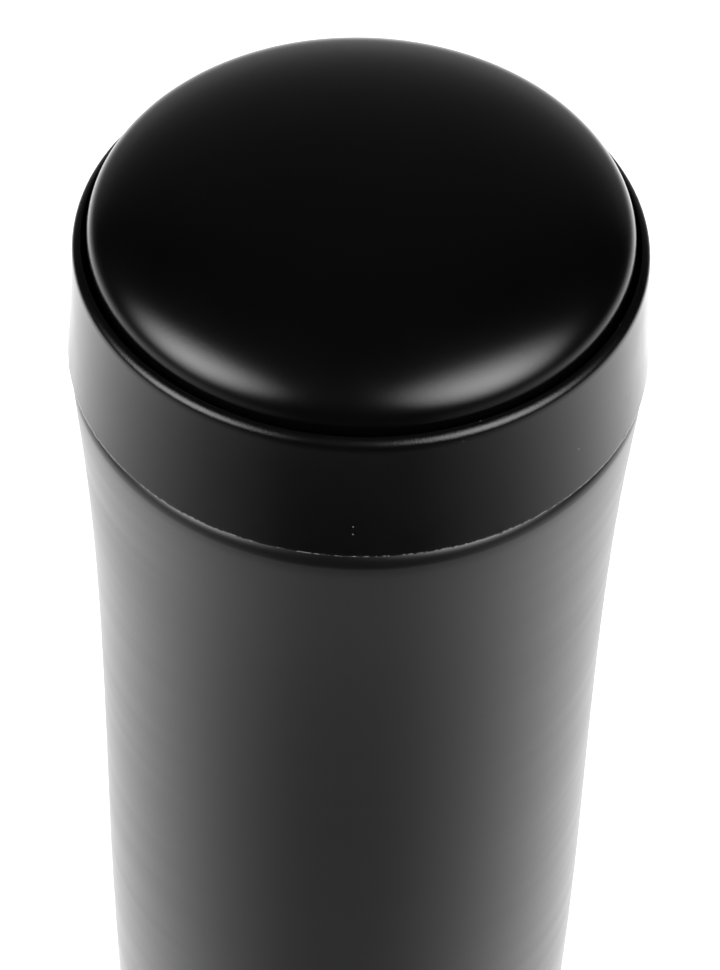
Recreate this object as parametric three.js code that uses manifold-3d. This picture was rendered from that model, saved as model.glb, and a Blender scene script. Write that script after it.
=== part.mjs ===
// A double-walled vacuum flask with a screw lid. The lid's dome is a push button that opens a ring
// gap to drink from all round. Millimetres, +Z up, origin at the centre of the foot ring's underside.

import * as THREE from "three";
import { mergeVertices } from "three/addons/utils/BufferGeometryUtils.js";
import Module from "manifold-3d";

const wasm = await Module();
wasm.setup();

// ---- driving dimensions ----------------------------------------------------------------------

const RIM_Z = 195.3; // drinking lip's crest
const SEAM_Z = 175.6; // collar's lower edge
const MOUTH_Z = 175.2; // flask's mouth, just below the collar

const LIP_R = 38; // collar's outside at the lip
const COLLAR_FLARE = 1.3; // how much wider the collar is at the seam
const COLLAR_WALL_R = 36.95; // collar's inside, round the dome
const TRAY_R = 36.7; // lid core's outside, where the collar fits over it
const TRAY_TOP_Z = 181.5;

const DOME_R = 36.2;
const DOME_EQUATOR_Z = 196.3;
const DOME_HEIGHT = 12.1; // crown above the equator
const DOME_ROUNDNESS = 2.1; // superellipse exponent, 2 is an ellipse
const DOME_SKIRT_Z = 190; // dome's lower edge
const DOME_WALL = 1.8;
const DOME_PLATE_LOW_Z = 191;
const DOME_PLATE_HIGH_Z = 192.8;

const WAIST_R = 35.9; // flask's radius below the flare
const FLARE = 3.1;
const FLARE_TOP_Z = 175;
const FLARE_LENGTH = 28;
const FLARE_POWER = 1.25;
const TAPER = 0.00037; // per mm, squared, below TAPER_Z
const TAPER_Z = 83;
const SHELL_BASE_Z = 2.4; // outer shell's flat underside
const BASE_ROUND = 5.5; // radius of the flask's lower edge
const SHEET = 0.5; // steel sheet

const LINER_R = 32.3; // inside of the flask
const LINER_FLOOR_Z = 14;
const LINER_THREAD_R = 34.9; // inside of the mouth, where the lid screws in
const LEDGE_TOP_Z = 163.6; // slope that the lid's gasket seals on
const LEDGE_LOW_Z = 159.2;

const PLUG_R = 33.2; // lid's threaded plug
const PLUG_BORE_R = 31;
const THROAT_R = 19; // opening that the valve closes
const VALVE_SEAT_Z = 159.5;

const THREAD_LEAD = 12;
const THREAD_STARTS = 3;
const THREAD_HEIGHT = 1.2;
const THREAD_SWEEP = THREE.MathUtils.degToRad(104);
const MALE_THREAD_Z = 166.4; // lowest end of the plug's ridges
const FEMALE_THREAD_Z = 168.4; // lowest end of the mouth's ridges

const STEM_R = 3.5;
const STEM_WIDTH = 11;
const STEM_DEPTH = 9;
const STEM_TOP_Z = 190.7;
const STEM_SQUARE_Z = 173;
const STEM_END_Z = 156.3;
const STEM_FLANGE_R = 9;
const STEM_FLANGE_LOW_Z = 188.7;
const STEM_HOLE_R = 3.9; // the stem runs through the guide and into the valve
const SCREW_R = 1.4; // screw up into the stem's end
const SCREW_TOP_Z = 163.5;
const VALVE_LOW_Z = 154.2;
const VALVE_R = 24;
const GUIDE_CUP_R = 14.5;
const GUIDE_LOW_Z = 164;
const GUIDE_FLOOR_Z = 167;
const GUIDE_TOP_Z = 185.3;

const ARM_PIVOT_Z = 169.3;
const ARM_LENGTH = 12; // pivot to follower
const ARM_Y = -6.9; // arm's front face
const ARM_THICKNESS = 1.6;
const FOLLOWER_R = 0.9;
const LATCH_PIN_R = 1;

const SPRING_R = 11.4; // to the middle of the wire
const SPRING_WIRE_R = 0.8;
const SPRING_LOW_Z = 167.3;
const SPRING_HIGH_Z = 190.7;
const SPRING_TURNS = 5.5;

const GAP = 0.3; // between pieces that touch

const ROUND = 32; // facets round the flask and lid
const SMALL_ROUND = 24;
const PIN_ROUND = 16;

// ---- materials -------------------------------------------------------------------------------

const finish = (color, roughness, metalness) =>
  new THREE.MeshStandardMaterial({ color, roughness, metalness });
const blackPaint = finish(0x1c1c1d, 0.42, 0.35);
const blackPlastic = finish(0x0d0d0e, 0.38, 0);
const domePlastic = finish(0x060607, 0.22, 0);
const greyPlastic = finish(0x5a5c5f, 0.5, 0);
const steel = finish(0xb4b6b8, 0.34, 1);
const springSteel = finish(0xc8cacc, 0.22, 1);
const foilMetal = finish(0xd8dadd, 0.3, 1);
const silicone = finish(0x2b2c2e, 0.6, 0);
const solder = finish(0x8b8f94, 0.4, 1);

// ---- solids ----------------------------------------------------------------------------------

// A closed geometry as a manifold-3d solid, for joining and cutting.
function solid(geometry) {
  const bare = geometry.clone();
  bare.deleteAttribute("normal");
  bare.deleteAttribute("uv");
  const merged = mergeVertices(bare, 1e-4);
  return new wasm.Manifold(
    new wasm.Mesh({
      numProp: 3,
      vertProperties: merged.attributes.position.array,
      triVerts: new Uint32Array(merged.index.array),
    }),
  );
}

// A manifold-3d solid back as a geometry.
function geometryOf(made) {
  const { vertProperties, triVerts } = made.getMesh();
  const geometry = new THREE.BufferGeometry();
  geometry.setAttribute("position", new THREE.BufferAttribute(new Float32Array(vertProperties), 3));
  geometry.setIndex(new THREE.BufferAttribute(new Uint32Array(triVerts), 1));
  geometry.computeVertexNormals();
  return geometry;
}

const joined = (...geometries) => geometryOf(geometries.map(solid).reduce((whole, next) => whole.add(next)));
const cut = (geometry, ...tools) =>
  geometryOf(tools.map(solid).reduce((left, tool) => left.subtract(tool), solid(geometry)));

// Turns an outline of [radius, z] corners round the Z axis. The outline runs anticlockwise. One that
// doesn't start and end on the axis closes on itself as a ring.
function turned(corners, facets = ROUND) {
  const points = corners.map(([r, z]) => new THREE.Vector2(r, z));
  const onAxis = points[0].x === 0 && points.at(-1).x === 0;
  if (!onAxis) points.push(points[0].clone());
  return new THREE.LatheGeometry(points, facets).rotateX(Math.PI / 2);
}

// Points along an arc in the [radius, z] plane, ends included. Angles are in degrees.
function arc(centreR, centreZ, radius, from, to, steps) {
  return Array.from({ length: steps + 1 }, (_, i) => {
    const angle = THREE.MathUtils.degToRad(from + ((to - from) * i) / steps);
    return [centreR + radius * Math.cos(angle), centreZ + radius * Math.sin(angle)];
  });
}

// Points of a formula radius(z), from one height to another, ends included.
function along(radius, fromZ, toZ, steps) {
  return Array.from({ length: steps + 1 }, (_, i) => {
    const z = fromZ + ((toZ - fromZ) * i) / steps;
    return [radius(z), z];
  });
}

const ring = (innerR, outerR, lowZ, highZ, facets = ROUND) =>
  turned([[innerR, lowZ], [outerR, lowZ], [outerR, highZ], [innerR, highZ]], facets);
const disc = (radius, lowZ, highZ, facets = ROUND) =>
  turned([[0, lowZ], [radius, lowZ], [radius, highZ], [0, highZ]], facets);

// A block between two corners.
function block(low, high) {
  const size = high.map((value, i) => value - low[i]);
  const middle = high.map((value, i) => (value + low[i]) / 2);
  return new THREE.BoxGeometry(...size).translate(...middle);
}

// A shape drawn in X and Z, as thick as the stretch from backY to frontY.
function plateFacingY(shape, frontY, backY, curveSegments = 5) {
  const settings = { depth: backY - frontY, bevelEnabled: false, curveSegments };
  return new THREE.ExtrudeGeometry(shape, settings).rotateX(Math.PI / 2).translate(0, backY, 0);
}

// A round bar along Y.
const barAlongY = (radius, frontY, backY, z, facets = PIN_ROUND) =>
  new THREE.CylinderGeometry(radius, radius, backY - frontY, facets).translate(0, (frontY + backY) / 2, z);

// ---- outlines --------------------------------------------------------------------------------

const flaskRadius = (z) =>
  WAIST_R + FLARE * Math.exp(-(((FLARE_TOP_Z - z) / FLARE_LENGTH) ** FLARE_POWER)) -
  TAPER * Math.max(0, TAPER_Z - z) ** 2;
const collarRadius = (z) => LIP_R + COLLAR_FLARE * ((RIM_Z - z) / (RIM_Z - SEAM_Z)) ** 1.6;

// The dome's outside, or its inside when inset, from the equator up to the crown.
function domeOutline(inset, steps) {
  return Array.from({ length: steps + 1 }, (_, i) => {
    const angle = (Math.PI / 2) * (i / steps);
    const r = i === steps ? 0 : (DOME_R - inset) * Math.cos(angle) ** (2 / DOME_ROUNDNESS);
    return [r, DOME_EQUATOR_Z + (DOME_HEIGHT - inset) * Math.sin(angle) ** (2 / DOME_ROUNDNESS)];
  });
}

// One ridge of the thread: a trapezium swept up the helix, thinning to nothing at both ends. The root
// sinks into the wall it grows from, and outward is 1 on a plug and -1 in a mouth.
function threadRidge(wallR, outward, startAngle, startZ) {
  const steps = 10;
  const rootHalf = 1.1;
  const crestHalf = 0.45;
  const sunk = 0.35;
  const positions = [];
  for (let i = 0; i <= steps; i++) {
    const t = i / steps;
    const angle = startAngle + THREAD_SWEEP * t;
    const z = startZ + (THREAD_LEAD * THREAD_SWEEP * t) / (2 * Math.PI);
    const rise = 0.12 + 0.88 * Math.min(1, 5 * t, 5 * (1 - t));
    const rootR = wallR - outward * sunk;
    const crestR = wallR + outward * THREAD_HEIGHT * rise;
    const section = [[rootR, -rootHalf], [crestR, -crestHalf], [crestR, crestHalf], [rootR, rootHalf]];
    if (outward < 0) section.reverse();
    for (const [r, dz] of section) positions.push(r * Math.cos(angle), r * Math.sin(angle), z + dz);
  }
  const index = [0, 1, 2, 0, 2, 3];
  for (let i = 0; i < steps; i++) {
    for (let side = 0; side < 4; side++) {
      const a = 4 * i + side;
      const b = 4 * i + ((side + 1) % 4);
      index.push(a, a + 4, b + 4, a, b + 4, b);
    }
  }
  const last = 4 * steps;
  index.push(last, last + 2, last + 1, last, last + 3, last + 2);
  const geometry = new THREE.BufferGeometry();
  geometry.setAttribute("position", new THREE.Float32BufferAttribute(positions, 3));
  geometry.setIndex(index);
  return geometry;
}

const threadRidges = (wallR, outward, startZ) =>
  Array.from({ length: THREAD_STARTS }, (_, i) =>
    threadRidge(wallR, outward, (2 * Math.PI * i) / THREAD_STARTS, startZ));

// ---- flask -----------------------------------------------------------------------------------

// Painted steel outside: rounded shoulder, flare, slight taper, rounded lower edge, open underneath.
function outerShell() {
  const shoulderHeight = 3;
  const shoulderDepth = 1.2;
  const shoulderZ = MOUTH_Z - shoulderHeight;
  const shoulderR = flaskRadius(shoulderZ);
  const shoulder = arc(0, 0, 1, 20, 90, 4).map(([across, up]) =>
    [shoulderR + shoulderDepth * (across - 1), shoulderZ + shoulderHeight * up]);
  const baseR = flaskRadius(SHELL_BASE_Z + BASE_ROUND) - BASE_ROUND;
  const innerEdgeR = 36.2; // welded to the liner here
  const openingR = 26.6;
  const inside = (z) => flaskRadius(z) - SHEET;
  return turned([
    [openingR, SHELL_BASE_Z],
    ...arc(baseR, SHELL_BASE_Z + BASE_ROUND, BASE_ROUND, -90, -15, 4),
    ...along(flaskRadius, 14, TAPER_Z, 3),
    ...along(flaskRadius, 120, shoulderZ, 5),
    ...shoulder,
    [innerEdgeR, MOUTH_Z],
    [innerEdgeR, MOUTH_Z - SHEET],
    [shoulderR - shoulderDepth, MOUTH_Z - SHEET],
    [shoulderR - SHEET, shoulderZ],
    ...along(inside, 160, TAPER_Z, 3),
    ...along(inside, 14, SHELL_BASE_Z + BASE_ROUND, 1),
    [baseR + 2, SHELL_BASE_Z + 1.7],
    [baseR - 1.4, SHELL_BASE_Z + SHEET],
    [openingR, SHELL_BASE_Z + SHEET],
  ]);
}

// Steel inside: flat-bottomed cup, sloped ledge for the gasket and a wider mouth with the thread.
function innerLiner() {
  const floorRound = 7;
  const cornerR = LINER_R - floorRound;
  const cornerZ = LINER_FLOOR_Z + floorRound;
  const lipR = 35.9;
  const cup = turned([
    [0, LINER_FLOOR_Z - SHEET],
    ...arc(cornerR, cornerZ, floorRound + SHEET, -90, 0, 3),
    [LINER_R + SHEET, LEDGE_LOW_Z - 0.3],
    [LINER_THREAD_R + SHEET, LEDGE_TOP_Z - 0.3],
    [LINER_THREAD_R + SHEET, MOUTH_Z - 1.2],
    [lipR, MOUTH_Z],
    [LINER_THREAD_R + 0.4, MOUTH_Z],
    [LINER_THREAD_R, MOUTH_Z - 0.6],
    [LINER_THREAD_R, LEDGE_TOP_Z],
    [LINER_R, LEDGE_LOW_Z],
    ...arc(cornerR, cornerZ, floorRound, 0, -90, 3),
    [0, LINER_FLOOR_Z],
  ]);
  return joined(cup, ...threadRidges(LINER_THREAD_R, -1, FEMALE_THREAD_Z));
}

// Foil wrapped round the liner, inside the vacuum.
function radiationFoil() {
  const foilR = LINER_R + SHEET + 0.5;
  return ring(foilR, foilR + 0.3, 24, 154);
}

const GETTER_X = 14;

// Holder welded under the liner, an open cup on its side.
function getterClip() {
  const cup = turned([[2.6, 8.4], [5.4, 8.4], [5.4, 13], [4.8, 13], [4.8, 9], [2.6, 9]], PIN_ROUND);
  return cup.translate(GETTER_X, 0, 0);
}

const getterPill = () => disc(4.4, 9.3, 11.5, PIN_ROUND).translate(GETTER_X, 0, 0);

// Disc welded into the shell's underside, dimpled round the pump-out hole.
function vacuumBasePlate() {
  return turned([
    [1.2, 5.9],
    [4.2, 5.9],
    [6.2, 3.3],
    [27.6, 3.3],
    [27.6, 4],
    [6.7, 4],
    [4.6, 6.6],
    [1.2, 6.6],
  ]);
}

// Brazing bead that closes the pump-out hole.
const vacuumSealBead = () => turned([[0, 3.7], [2.2, 4], [3.4, 5], [3.4, 5.6], [0, 5.6]], PIN_ROUND);

// Thin dished disc that covers the dimple and the bead.
function baseCover() {
  return turned([[0, 1.2], [22, 1.2], [22.6, 1.8], [22.6, 3], [21.8, 3], [21.8, 2], [0, 2]]);
}

// Soft ring that the flask stands on.
function footRing() {
  return turned([[23, 0.5], [23.5, 0], [28.6, 0], [30, 0.7], [30.5, 2.1], [23, 2.1]]);
}

// ---- lid -------------------------------------------------------------------------------------

// Grip collar. Its rounded upper edge is the lip to drink from.
function collarShell() {
  const lipRound = 1.5;
  const lipCentreZ = RIM_Z - lipRound;
  const fitR = TRAY_R + 0.35;
  return turned([
    [fitR, SEAM_Z],
    [collarRadius(SEAM_Z) - 0.3, SEAM_Z],
    ...along(collarRadius, SEAM_Z + 0.3, lipCentreZ, 5),
    ...arc(LIP_R - lipRound, lipCentreZ, lipRound, 14, 70, 4),
    [COLLAR_WALL_R, RIM_Z - 0.4],
    [COLLAR_WALL_R, TRAY_TOP_Z + 0.7],
    [fitR, TRAY_TOP_Z + GAP],
  ]);
}

// Lid's core: tray under the dome, threaded plug, ledge for the guide, floor with the valve's seat.
function lidBody() {
  const core = turned([
    [THROAT_R, VALVE_SEAT_Z],
    [31.9, VALVE_SEAT_Z],
    [31.9, VALVE_SEAT_Z + 0.9],
    [30.9, VALVE_SEAT_Z + 0.9],
    [30.9, 163.7],
    [PLUG_R, 163.7],
    [PLUG_R, MOUTH_Z + GAP],
    [TRAY_R, MOUTH_Z + GAP],
    [TRAY_R, TRAY_TOP_Z],
    [35.5, TRAY_TOP_Z],
    [35.3, 178.2],
    [PLUG_BORE_R, 176.8],
    [PLUG_BORE_R, 168],
    [PLUG_BORE_R - 1, 168],
    [PLUG_BORE_R - 1.3, 162.6],
    [THROAT_R + 9, 161.3],
    [THROAT_R, 161],
  ]);
  return joined(core, ...threadRidges(PLUG_R, 1, MALE_THREAD_Z));
}

// Soft ring round the plug's lower end, sealing on the liner's sloped ledge.
function lidGasket() {
  return turned([
    [31.2, 160.7],
    [32.5, 160.7],
    [33, 161.1],
    [33.35, 162],
    [33.35, 163],
    [32.6, 163.4],
    [31.2, 163.4],
  ]);
}

// Cup that guides the stem and holds the spring and latch, on four spokes with drinking windows.
function plungerGuide() {
  const ringLow = 168.3;
  const ringHigh = 171.3;
  const ringInnerR = 28.2;
  const cupWall = 1.5;
  const sealPocketR = 5.8;
  const outerRing = ring(ringInnerR, PLUG_BORE_R - GAP, ringLow, ringHigh);
  const cup = turned([
    [STEM_HOLE_R, GUIDE_LOW_Z],
    [GUIDE_CUP_R, GUIDE_LOW_Z],
    [GUIDE_CUP_R, GUIDE_TOP_Z],
    [GUIDE_CUP_R - cupWall, GUIDE_TOP_Z],
    [GUIDE_CUP_R - cupWall, GUIDE_FLOOR_Z],
    [STEM_HOLE_R, GUIDE_FLOOR_Z],
    [STEM_HOLE_R, GUIDE_FLOOR_Z - GAP],
    [sealPocketR, GUIDE_FLOOR_Z - GAP],
    [sealPocketR, GUIDE_LOW_Z + 0.5],
    [STEM_HOLE_R, GUIDE_LOW_Z + 0.5],
  ]);
  const spokes = [45, 135, 225, 315].map((degrees) => {
    const spoke = block([GUIDE_CUP_R - 0.7, -1.5, ringLow], [ringInnerR + 0.8, 1.5, ringHigh]);
    return spoke.rotateZ(THREE.MathUtils.degToRad(degrees));
  });
  const post = block([-3, -9.4, GUIDE_FLOOR_Z - 0.5], [3, -7.4, ARM_PIVOT_Z + 3]);
  const postBore = barAlongY(LATCH_PIN_R + 0.2, -10.5, -6.5, ARM_PIVOT_Z);
  return cut(joined(cup, outerRing, ...spokes, post), postBore);
}

const stemSeal = () => new THREE.TorusGeometry(4.7, 0.9, 8, SMALL_ROUND).translate(0, 0, 165.6);

const latchPin = () => barAlongY(LATCH_PIN_R, -9.2, -4.9, ARM_PIVOT_Z);

// Swinging arm. Its follower runs in the heart-shaped track of the stem.
function latchArm() {
  const top = ARM_PIVOT_Z + ARM_LENGTH;
  const outline = new THREE.Shape();
  outline.absarc(0, top, 1.5, 0, Math.PI, false);
  outline.absarc(0, ARM_PIVOT_Z, 2.1, Math.PI, 2 * Math.PI, false);
  outline.closePath();
  const hole = new THREE.Path();
  hole.absarc(0, ARM_PIVOT_Z, LATCH_PIN_R + 0.3, 0, 2 * Math.PI, true);
  outline.holes.push(hole);
  const plate = plateFacingY(outline, ARM_Y, ARM_Y + ARM_THICKNESS);
  return joined(plate, barAlongY(FOLLOWER_R, ARM_Y + ARM_THICKNESS - 0.5, -3.4, top, 12));
}

// Coil whose turns close up at both ends.
class SpringCurve extends THREE.Curve {
  getPoint(t, target = new THREE.Vector3()) {
    const angle = 2 * Math.PI * SPRING_TURNS * t;
    const low = SPRING_LOW_Z + SPRING_WIRE_R;
    const rise = SPRING_HIGH_Z - SPRING_LOW_Z - 2 * SPRING_WIRE_R;
    const eased = t - (0.62 * Math.sin(2 * Math.PI * t)) / (2 * Math.PI);
    return target.set(SPRING_R * Math.cos(angle), SPRING_R * Math.sin(angle), low + rise * eased);
  }
}

function returnSpring() {
  const section = new THREE.Shape();
  section.absarc(0, 0, SPRING_WIRE_R, 0, 2 * Math.PI, false);
  return new THREE.ExtrudeGeometry(section, {
    steps: 14 * SPRING_TURNS,
    curveSegments: 3,
    bevelEnabled: false,
    extrudePath: new SpringCurve(),
  });
}

// ---- push button -----------------------------------------------------------------------------

// Hollow cushion-shaped cap that is pressed.
function domeCap() {
  const plateStepZ = DOME_PLATE_HIGH_Z + GAP;
  return turned([
    [DOME_R - DOME_WALL, DOME_SKIRT_Z],
    [DOME_R - 0.4, DOME_SKIRT_Z],
    ...domeOutline(0, 9),
    ...domeOutline(DOME_WALL, 5).reverse(),
    [DOME_R - 2.4, plateStepZ],
    [DOME_R - DOME_WALL, plateStepZ],
  ]);
}

// Disc that closes the dome from below.
const domeInnerPlate = () => disc(DOME_R - DOME_WALL - GAP, DOME_PLATE_LOW_Z, DOME_PLATE_HIGH_Z);

// Flange, square part with the heart-shaped latch track, and round part down to the valve.
function stem() {
  const flange = disc(STEM_FLANGE_R, STEM_FLANGE_LOW_Z, STEM_TOP_Z, SMALL_ROUND);
  const square = block(
    [-STEM_WIDTH / 2, -STEM_DEPTH / 2, STEM_SQUARE_Z],
    [STEM_WIDTH / 2, STEM_DEPTH / 2, STEM_FLANGE_LOW_Z + 0.3],
  );
  const post = disc(STEM_R, STEM_END_Z, STEM_SQUARE_Z + 1, SMALL_ROUND);
  const screwHole = disc(SCREW_R + GAP, STEM_END_Z - 1, SCREW_TOP_Z + 1, PIN_ROUND);
  return cut(joined(post, square, flange), screwHole, heartTrack());
}

// The track as a solid to cut away: a loop round a heart-shaped island.
function heartTrack() {
  const restZ = ARM_PIVOT_Z + ARM_LENGTH;
  const halfPath = (side) => [[side * 1.5, -1.4], [side * 4.1, 4.6], [side * 4.1, 6.5]];
  const corners = [...halfPath(1), ...halfPath(-1).reverse()];
  const loop = new THREE.Shape(corners.map(([x, z]) => new THREE.Vector2(x, restZ + z)));
  const island = [[0, 2.6], [-1, 4.6], [0, 4], [1, 4.6]];
  loop.holes.push(new THREE.Path(island.map(([x, z]) => new THREE.Vector2(x, restZ + z))));
  return plateFacingY(loop, -STEM_DEPTH / 2 - 1, -STEM_DEPTH / 2 + 1.5);
}

// Dished disc under the throat, with a socket for the stem and a rim that holds the seal.
function valveDisc() {
  return turned([
    [1.8, VALVE_LOW_Z],
    [VALVE_R - 4, VALVE_LOW_Z],
    [VALVE_R, 156],
    [VALVE_R, 158.2],
    [23.2, 158.2],
    [23.2, 157],
    [6.5, 157],
    [5.6, 159.4],
    [STEM_HOLE_R, 159.4],
    [STEM_HOLE_R, 156],
    [1.8, 156],
  ]);
}

// Soft ring that closes on the seat round the throat.
function valveSeal() {
  return turned([[15.8, 157.3], [22.8, 157.3], [22.8, 158.4], [21, 159.2], [19.6, 159.2], [15.8, 158.3]]);
}

// Screw that holds the valve on the stem, with a cross recess.
function stemScrew() {
  const headZ = 152.4;
  const screw = turned([
    [0, headZ],
    [2.8, headZ],
    [3.6, headZ + 0.6],
    [3.6, VALVE_LOW_Z - GAP],
    [SCREW_R, VALVE_LOW_Z - GAP],
    [SCREW_R, SCREW_TOP_Z],
    [0, SCREW_TOP_Z],
  ], PIN_ROUND);
  const slot = block([-2, -0.4, headZ - 0.4], [2, 0.4, headZ + 0.8]);
  return cut(screw, slot, slot.clone().rotateZ(Math.PI / 2));
}

// ---- assembly --------------------------------------------------------------------------------

function piece(name, geometry, material) {
  const mesh = new THREE.Mesh(geometry, material);
  mesh.name = name;
  return mesh;
}

const flask = new THREE.Group().add(
  piece("outer_shell", outerShell(), blackPaint),
  piece("inner_liner", innerLiner(), steel),
  piece("radiation_foil", radiationFoil(), foilMetal),
  piece("getter_clip", getterClip(), steel),
  piece("getter_pill", getterPill(), solder),
  piece("vacuum_base_plate", vacuumBasePlate(), steel),
  piece("vacuum_seal_bead", vacuumSealBead(), solder),
  piece("base_cover", baseCover(), blackPaint),
  piece("foot_ring", footRing(), silicone),
);

const pushButton = new THREE.Group().add(
  piece("dome_cap", domeCap(), domePlastic),
  piece("dome_inner_plate", domeInnerPlate(), blackPlastic),
  piece("stem", stem(), greyPlastic),
  piece("valve_disc", valveDisc(), greyPlastic),
  piece("valve_seal", valveSeal(), silicone),
  piece("stem_screw", stemScrew(), steel),
);

const lid = new THREE.Group().add(
  piece("collar_shell", collarShell(), blackPlastic),
  piece("lid_body", lidBody(), blackPlastic),
  piece("lid_gasket", lidGasket(), silicone),
  piece("plunger_guide", plungerGuide(), greyPlastic),
  piece("stem_seal", stemSeal(), silicone),
  piece("latch_pin", latchPin(), steel),
  piece("latch_arm", latchArm(), greyPlastic),
  piece("return_spring", returnSpring(), springSteel),
  pushButton,
);

const vacuumFlask = new THREE.Group().add(flask, lid);

export default vacuumFlask;
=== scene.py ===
"""Vacuum flask with a press-to-open lid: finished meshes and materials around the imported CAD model.

Outlines are written in millimetres as [radius, z] corners, and turned into meshes in metres.
"""

import math

import bmesh
import bpy
from mathutils import Matrix, Vector, noise


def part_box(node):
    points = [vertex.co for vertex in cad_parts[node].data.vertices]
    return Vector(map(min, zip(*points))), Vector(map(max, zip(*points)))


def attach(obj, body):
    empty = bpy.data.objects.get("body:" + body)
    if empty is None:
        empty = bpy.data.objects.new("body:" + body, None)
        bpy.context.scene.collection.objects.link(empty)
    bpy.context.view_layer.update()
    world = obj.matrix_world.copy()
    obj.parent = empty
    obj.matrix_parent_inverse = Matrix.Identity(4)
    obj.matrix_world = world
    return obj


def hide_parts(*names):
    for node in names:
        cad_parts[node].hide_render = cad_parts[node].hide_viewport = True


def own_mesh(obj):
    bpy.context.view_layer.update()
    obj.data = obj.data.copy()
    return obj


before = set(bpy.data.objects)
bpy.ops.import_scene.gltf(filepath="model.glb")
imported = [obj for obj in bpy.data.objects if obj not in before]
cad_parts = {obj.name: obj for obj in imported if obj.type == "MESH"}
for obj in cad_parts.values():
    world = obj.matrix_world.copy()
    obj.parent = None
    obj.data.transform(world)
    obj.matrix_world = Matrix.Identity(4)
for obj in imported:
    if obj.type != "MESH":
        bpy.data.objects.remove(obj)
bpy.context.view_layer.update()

MM = 0.001
FULL = 2 * math.pi
SEED = 7  # picks the noise that the collar's burrs are made from
FILLET_STEP = math.radians(12)
SHARP_ANGLE = math.radians(38)


# ---- sizes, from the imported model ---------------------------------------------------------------


def low(node):
    """Height of a CAD node's underside, in millimetres."""
    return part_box(node)[0].z / MM


def high(node):
    """Height of a CAD node's top, in millimetres."""
    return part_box(node)[1].z / MM


def radius(node):
    """Largest radius of a round CAD node, in millimetres."""
    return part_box(node)[1].x / MM


SEAM_Z = low("collar_shell")
COLLAR_R = radius("collar_shell")
MOUTH_Z = high("outer_shell")
SHELL_LOW_Z = low("outer_shell")
CROWN_Z = high("dome_cap")
DOME_R = radius("dome_cap")
SKIRT_Z = low("dome_cap")
PLATE_Z = low("dome_inner_plate")
SEAT_Z = low("lid_body")
GUIDE_LOW_Z = low("plunger_guide")
GUIDE_HIGH_Z = high("plunger_guide")
SPRING_LOW_Z = low("return_spring")
SPRING_HIGH_Z = high("return_spring")

# Collar. On this mesh the lip's crest is a hair higher and wider than the CAD's, to match the photo.
RIM_Z = 195.55
LIP_R = 38.2
LIP_ROUND = 1.5
COLLAR_FLARE = COLLAR_R - LIP_R
COLLAR_WALL_R = 36.95
COLLAR_WALL_LOW_Z = 182.2
COLLAR_FIT_R = 37.05  # where the collar grips the lid core
COLLAR_FIT_TOP_Z = 181.8
FLASH_HEIGHT = 0.2

# Outer shell: a waist that flares below the seam and tapers towards the base.
WAIST_R = 35.9
FLARE = 3.1
FLARE_TOP_Z = 175
FLARE_LENGTH = 28
FLARE_POWER = 1.25
TAPER = 0.00037
TAPER_Z = 83
BASE_ROUND = 5.5
BASE_OPENING_R = 26.6
SHOULDER_HEIGHT = 2.6
SHOULDER_DEPTH = 1.6
SHELL_MOUTH_R = 36.2
SHEET = 0.5

# Inner liner
LINER_R = 32.3
LINER_FLOOR_Z = 14
LINER_CORNER = 7
LINER_THREAD_R = 34.9
LEDGE_TOP_Z = 163.6
LEDGE_LOW_Z = 159.2

# Lid core
PLUG_R = 33.2
PLUG_BORE_R = 31
THROAT_R = 19
TRAY_R = 36.7
TRAY_TOP_Z = 181.5

# Dome cap
DOME_EQUATOR_Z = 196.3
DOME_ROUNDNESS = 2.1
DOME_WALL = 1.8
PLATE_THICKNESS = 1.8

# Threads of the lid and the liner
THREAD_LEAD = 12
THREAD_STARTS = 3
THREAD_HEIGHT = 1.2
THREAD_SWEEP = math.radians(104)
MALE_THREAD_Z = 166.4
FEMALE_THREAD_Z = 168.4

# Mechanism under the dome
STEM_R = 3.5
STEM_HOLE_R = 3.9
STEM_WIDTH = 11
STEM_DEPTH = 9
STEM_SQUARE_Z = 173
STEM_FLANGE_R = 9
GUIDE_CUP_R = 14.5
GUIDE_FLOOR_Z = 167
ARM_PIVOT_Z = 169.3
ARM_LENGTH = 12
ARM_Y = -6.9
ARM_THICKNESS = 1.6
LATCH_PIN_R = 1
FOLLOWER_R = 0.9
VALVE_LOW_Z = 154.2
VALVE_R = 24
SCREW_R = 1.4
SCREW_TOP_Z = 163.5
SPRING_TURNS = 5.5
SPRING_WIRE_R = 0.8
SPRING_R = radius("return_spring") - SPRING_WIRE_R


def flask_radius(z):
    """Outside radius of the shell: the waist, its flare below the seam and its taper to the base."""
    flare = FLARE * math.exp(-((max(0, FLARE_TOP_Z - z) / FLARE_LENGTH) ** FLARE_POWER))
    return WAIST_R + flare - TAPER * max(0, TAPER_Z - z) ** 2


def collar_radius(z):
    """Outside radius of the collar, which widens more and more from the lip down to the seam."""
    return LIP_R + COLLAR_FLARE * max(0, (RIM_Z - z) / (RIM_Z - SEAM_Z)) ** 1.6


# ---- camera, lights and floor -------------------------------------------------------------------

AIM_Z = 196  # on the axis, just above the lip
CAMERA_ELEVATION = math.radians(42.95)
CAMERA_DISTANCE = 536.4  # to the aimed point
CAMERA_PITCH = math.radians(3.551)  # turned down from the aimed point
CAMERA_YAW = math.radians(0.081)
CAMERA_ROLL = math.radians(1.685)
LENS = 150.9


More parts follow.
